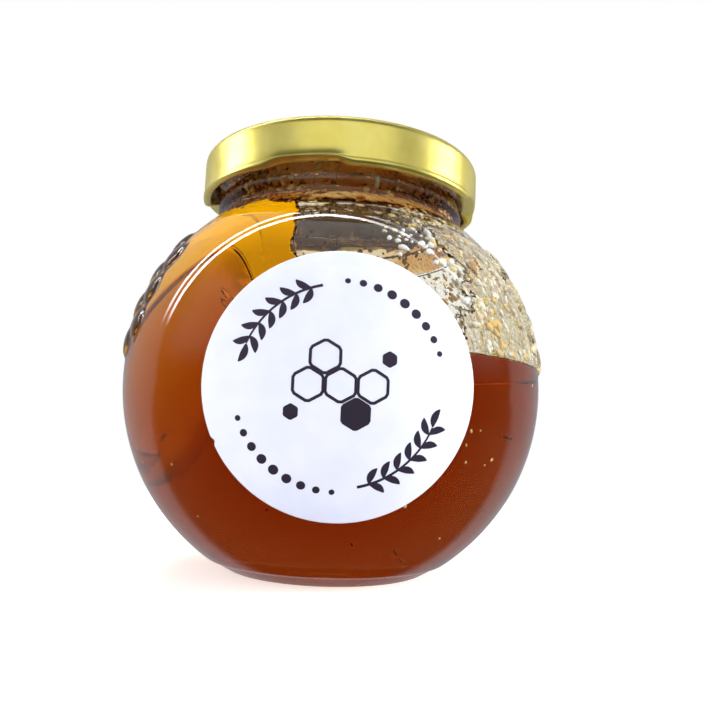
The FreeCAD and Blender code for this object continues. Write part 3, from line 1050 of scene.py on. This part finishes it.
def build_floor():
    count = 96
    rings = [0.02, 0.06, 0.12, 0.25, 0.6, 1.5, 3.0]
    angle = np.linspace(0, 2 * math.pi, count, endpoint=False)
    verts = [[0, 0, 0]]
    for radius in rings:
        verts += np.stack([radius * np.cos(angle), radius * np.sin(angle), 0 * angle], -1).tolist()
    faces = [(0, 1 + i, 1 + (i + 1) % count) for i in range(count)]
    faces += grid_faces(len(rings), count, True, 1)
    mesh = bpy.data.meshes.new("floor")
    mesh.from_pydata(verts, [], [tuple(f) for f in faces])
    floor = bpy.data.objects.new("floor", mesh)
    bpy.context.scene.collection.objects.link(floor)
    floor.location.z = -0.02 * MM

    material, tree = blank_material("floor")
    plain = node(tree, "BsdfDiffuse", Color=(0.80, 0.80, 0.81, 1))
    glow = node(tree, "Emission", Color=(1, 1, 1, 1), Strength=0.5)
    white = node(tree, "Emission", Color=(1, 1, 1, 1), Strength=1.0)
    place = node(tree, "TexCoord").outputs["Object"]
    length = node(tree, "VectorMath", place)
    length.operation = "LENGTH"
    far = ramp_between(tree, length.outputs["Value"], 0.09, 0.22, 0.0, 1.0)
    shown = node(tree, "MixShader", far, node(tree, "AddShader", plain, glow), white)
    # Painted reflection: to reflecting rays the floor is a glow, dim in front of the jar and bright behind
    # it, and not its plain diffuse surface.
    x, y, _ = node(tree, "SeparateXYZ", place).outputs
    over = math_node(tree, "ADD", y, 22.5 * MM)
    beside = math_node(tree, "ADD", math_node(tree, "ABSOLUTE", x), 4 * MM)
    behind = ramp_between(tree, math_node(tree, "DIVIDE", over, beside), 0.20, 0.36, 0.02, BACK_LIGHT)
    mirrored = node(tree, "Emission", Color=(0.95, 0.95, 1.0, 1), Strength=behind)
    bounced = node(tree, "MixShader", is_any(tree, "Is Glossy Ray"), plain, mirrored)
    final = node(tree, "MixShader", is_any(tree, "Is Camera Ray", "Is Transmission Ray"), bounced, shown)
    node(tree, "OutputMaterial", Surface=final)
    floor.data.materials.append(material)


def softbox(name, azimuth, elevation, distance, width, height, power):
    """An area light at a direction from the jar (azimuth 0 is the front), facing it."""
    a, e = math.radians(azimuth), math.radians(elevation)
    aim = Vector((0, 0, BALL_Z))
    place = aim + Vector((math.cos(e) * math.sin(a), -math.cos(e) * math.cos(a), math.sin(e))) * distance
    light = bpy.data.lights.new(name, "AREA")
    light.shape = "RECTANGLE"
    light.size, light.size_y, light.energy = width, height, power
    lamp = bpy.data.objects.new(name, light)
    lamp.location = place
    lamp.rotation_euler = (aim - place).to_track_quat("-Z", "Y").to_euler()
    lamp.visible_camera = lamp.visible_transmission = False
    bpy.context.scene.collection.objects.link(lamp)
    return lamp


def build_lights(lid):
    """Four softboxes that are not mirrored in the jar, and three that light the lid alone."""
    for box in (("top_box", 180, 72, 0.6, 0.5, 0.5, 3.2), ("left_box", -82, 22, 0.55, 0.22, 0.3, 1.4),
                ("right_box", 86, 22, 0.55, 0.26, 0.3, 3.6), ("front_fill", 6, 35, 0.7, 0.5, 0.4, 1.05)):
        softbox(*box).visible_glossy = False
    only_lid = bpy.data.collections.new("lit_by_lid_boxes")
    only_lid.objects.link(lid)
    for box in (("lid_left", -92, 14, 0.5, 0.16, 0.3, 1.2), ("lid_right", 88, 14, 0.5, 0.20, 0.3, 1.2),
                ("lid_front", 0, 30, 0.5, 0.7, 0.3, 0.5)):
        softbox(*box).light_linking.receiver_collection = only_lid


CAMERA_DISTANCE = 139.8 * MM
CAMERA_HEIGHT = 25.1 * MM
CAMERA_AZIMUTH = math.radians(-1.56)
CAMERA_YAW = 0.0642
CAMERA_PITCH = 0.117
CAMERA_ROLL = 0.038
CAMERA_LENS = 34.52


def build_camera():
    camera = bpy.data.cameras.new("camera")
    camera.lens, camera.sensor_width = CAMERA_LENS, 36.0
    camera.clip_start = 0.001
    obj = bpy.data.objects.new("camera", camera)
    bpy.context.scene.collection.objects.link(obj)
    ahead = Vector((math.sin(CAMERA_YAW) * math.cos(CAMERA_PITCH),
                    math.cos(CAMERA_YAW) * math.cos(CAMERA_PITCH), math.sin(CAMERA_PITCH)))
    level = Vector((math.cos(CAMERA_YAW), -math.sin(CAMERA_YAW), 0))
    above = level.cross(ahead)
    right = level * math.cos(CAMERA_ROLL) + above * math.sin(CAMERA_ROLL)
    up = above * math.cos(CAMERA_ROLL) - level * math.sin(CAMERA_ROLL)
    place = Vector((CAMERA_DISTANCE * math.sin(CAMERA_AZIMUTH),
                    -CAMERA_DISTANCE * math.cos(CAMERA_AZIMUTH), CAMERA_HEIGHT))
    obj.matrix_world = Matrix.Translation(place) @ Matrix((right, up, -ahead)).transposed().to_4x4()
    bpy.context.scene.camera = obj


build_camera()
build_world()
build_floor()
build_glass(glass_material("jar_glass", 1.0), glass_material("jar_glass_wetted", 0.0))
# Two honeys: the darker filling, and over the slanting surface a lighter honey that takes off less of each
# colour. The lighter one is partly clearer honey and partly painted backlight that makes the upper left
# glow amber.
build_filling(honey_material("honey_dark", (1.0, 0.84, 0.4), (24.0, 58.0, 330.0), 0.0))
build_bank(honey_material("honey_lighter_painted_backlight", (1.0, 0.92, 0.4), (7.0, 20.0, 150.0), 0.0))
build_film("honey_film", LEVEL_Z + 0.2 * MM, NECK_FILM_Z, np.radians(np.arange(-24, 196, 0.52)),
           honey_material("honey_drops", (1.0, 0.97, 0.9), (10.0, 35.0, 170.0), 1.0))
# From NECK_FILM_Z up, the film is a browner honey that takes off far more of each colour than the film
# lower down, so the neck reads dark brown.
build_film("honey_neck_film", NECK_FILM_Z + 0.1 * MM, FILM_TOP_Z, np.radians(np.arange(-180, 180.3, 0.6)),
           honey_material("honey_neck_browner", (1.0, 0.93, 0.8), (330.0, 850.0, 1900.0), 1.0))
build_grains()
build_specks()
build_lights(build_lid(opaque_material("lid_gold", gold_look), opaque_material("lid_inside", lacquer_look)))
build_label(opaque_material("label_paper", paper_look), opaque_material("label_ink", ink_look))

scene = bpy.context.scene
scene.view_settings.view_transform = "Standard"
scene.cycles.max_bounces = 28
scene.cycles.transmission_bounces = 24
scene.cycles.glossy_bounces = 6
scene.cycles.transparent_max_bounces = 24
scene.cycles.caustics_reflective = False
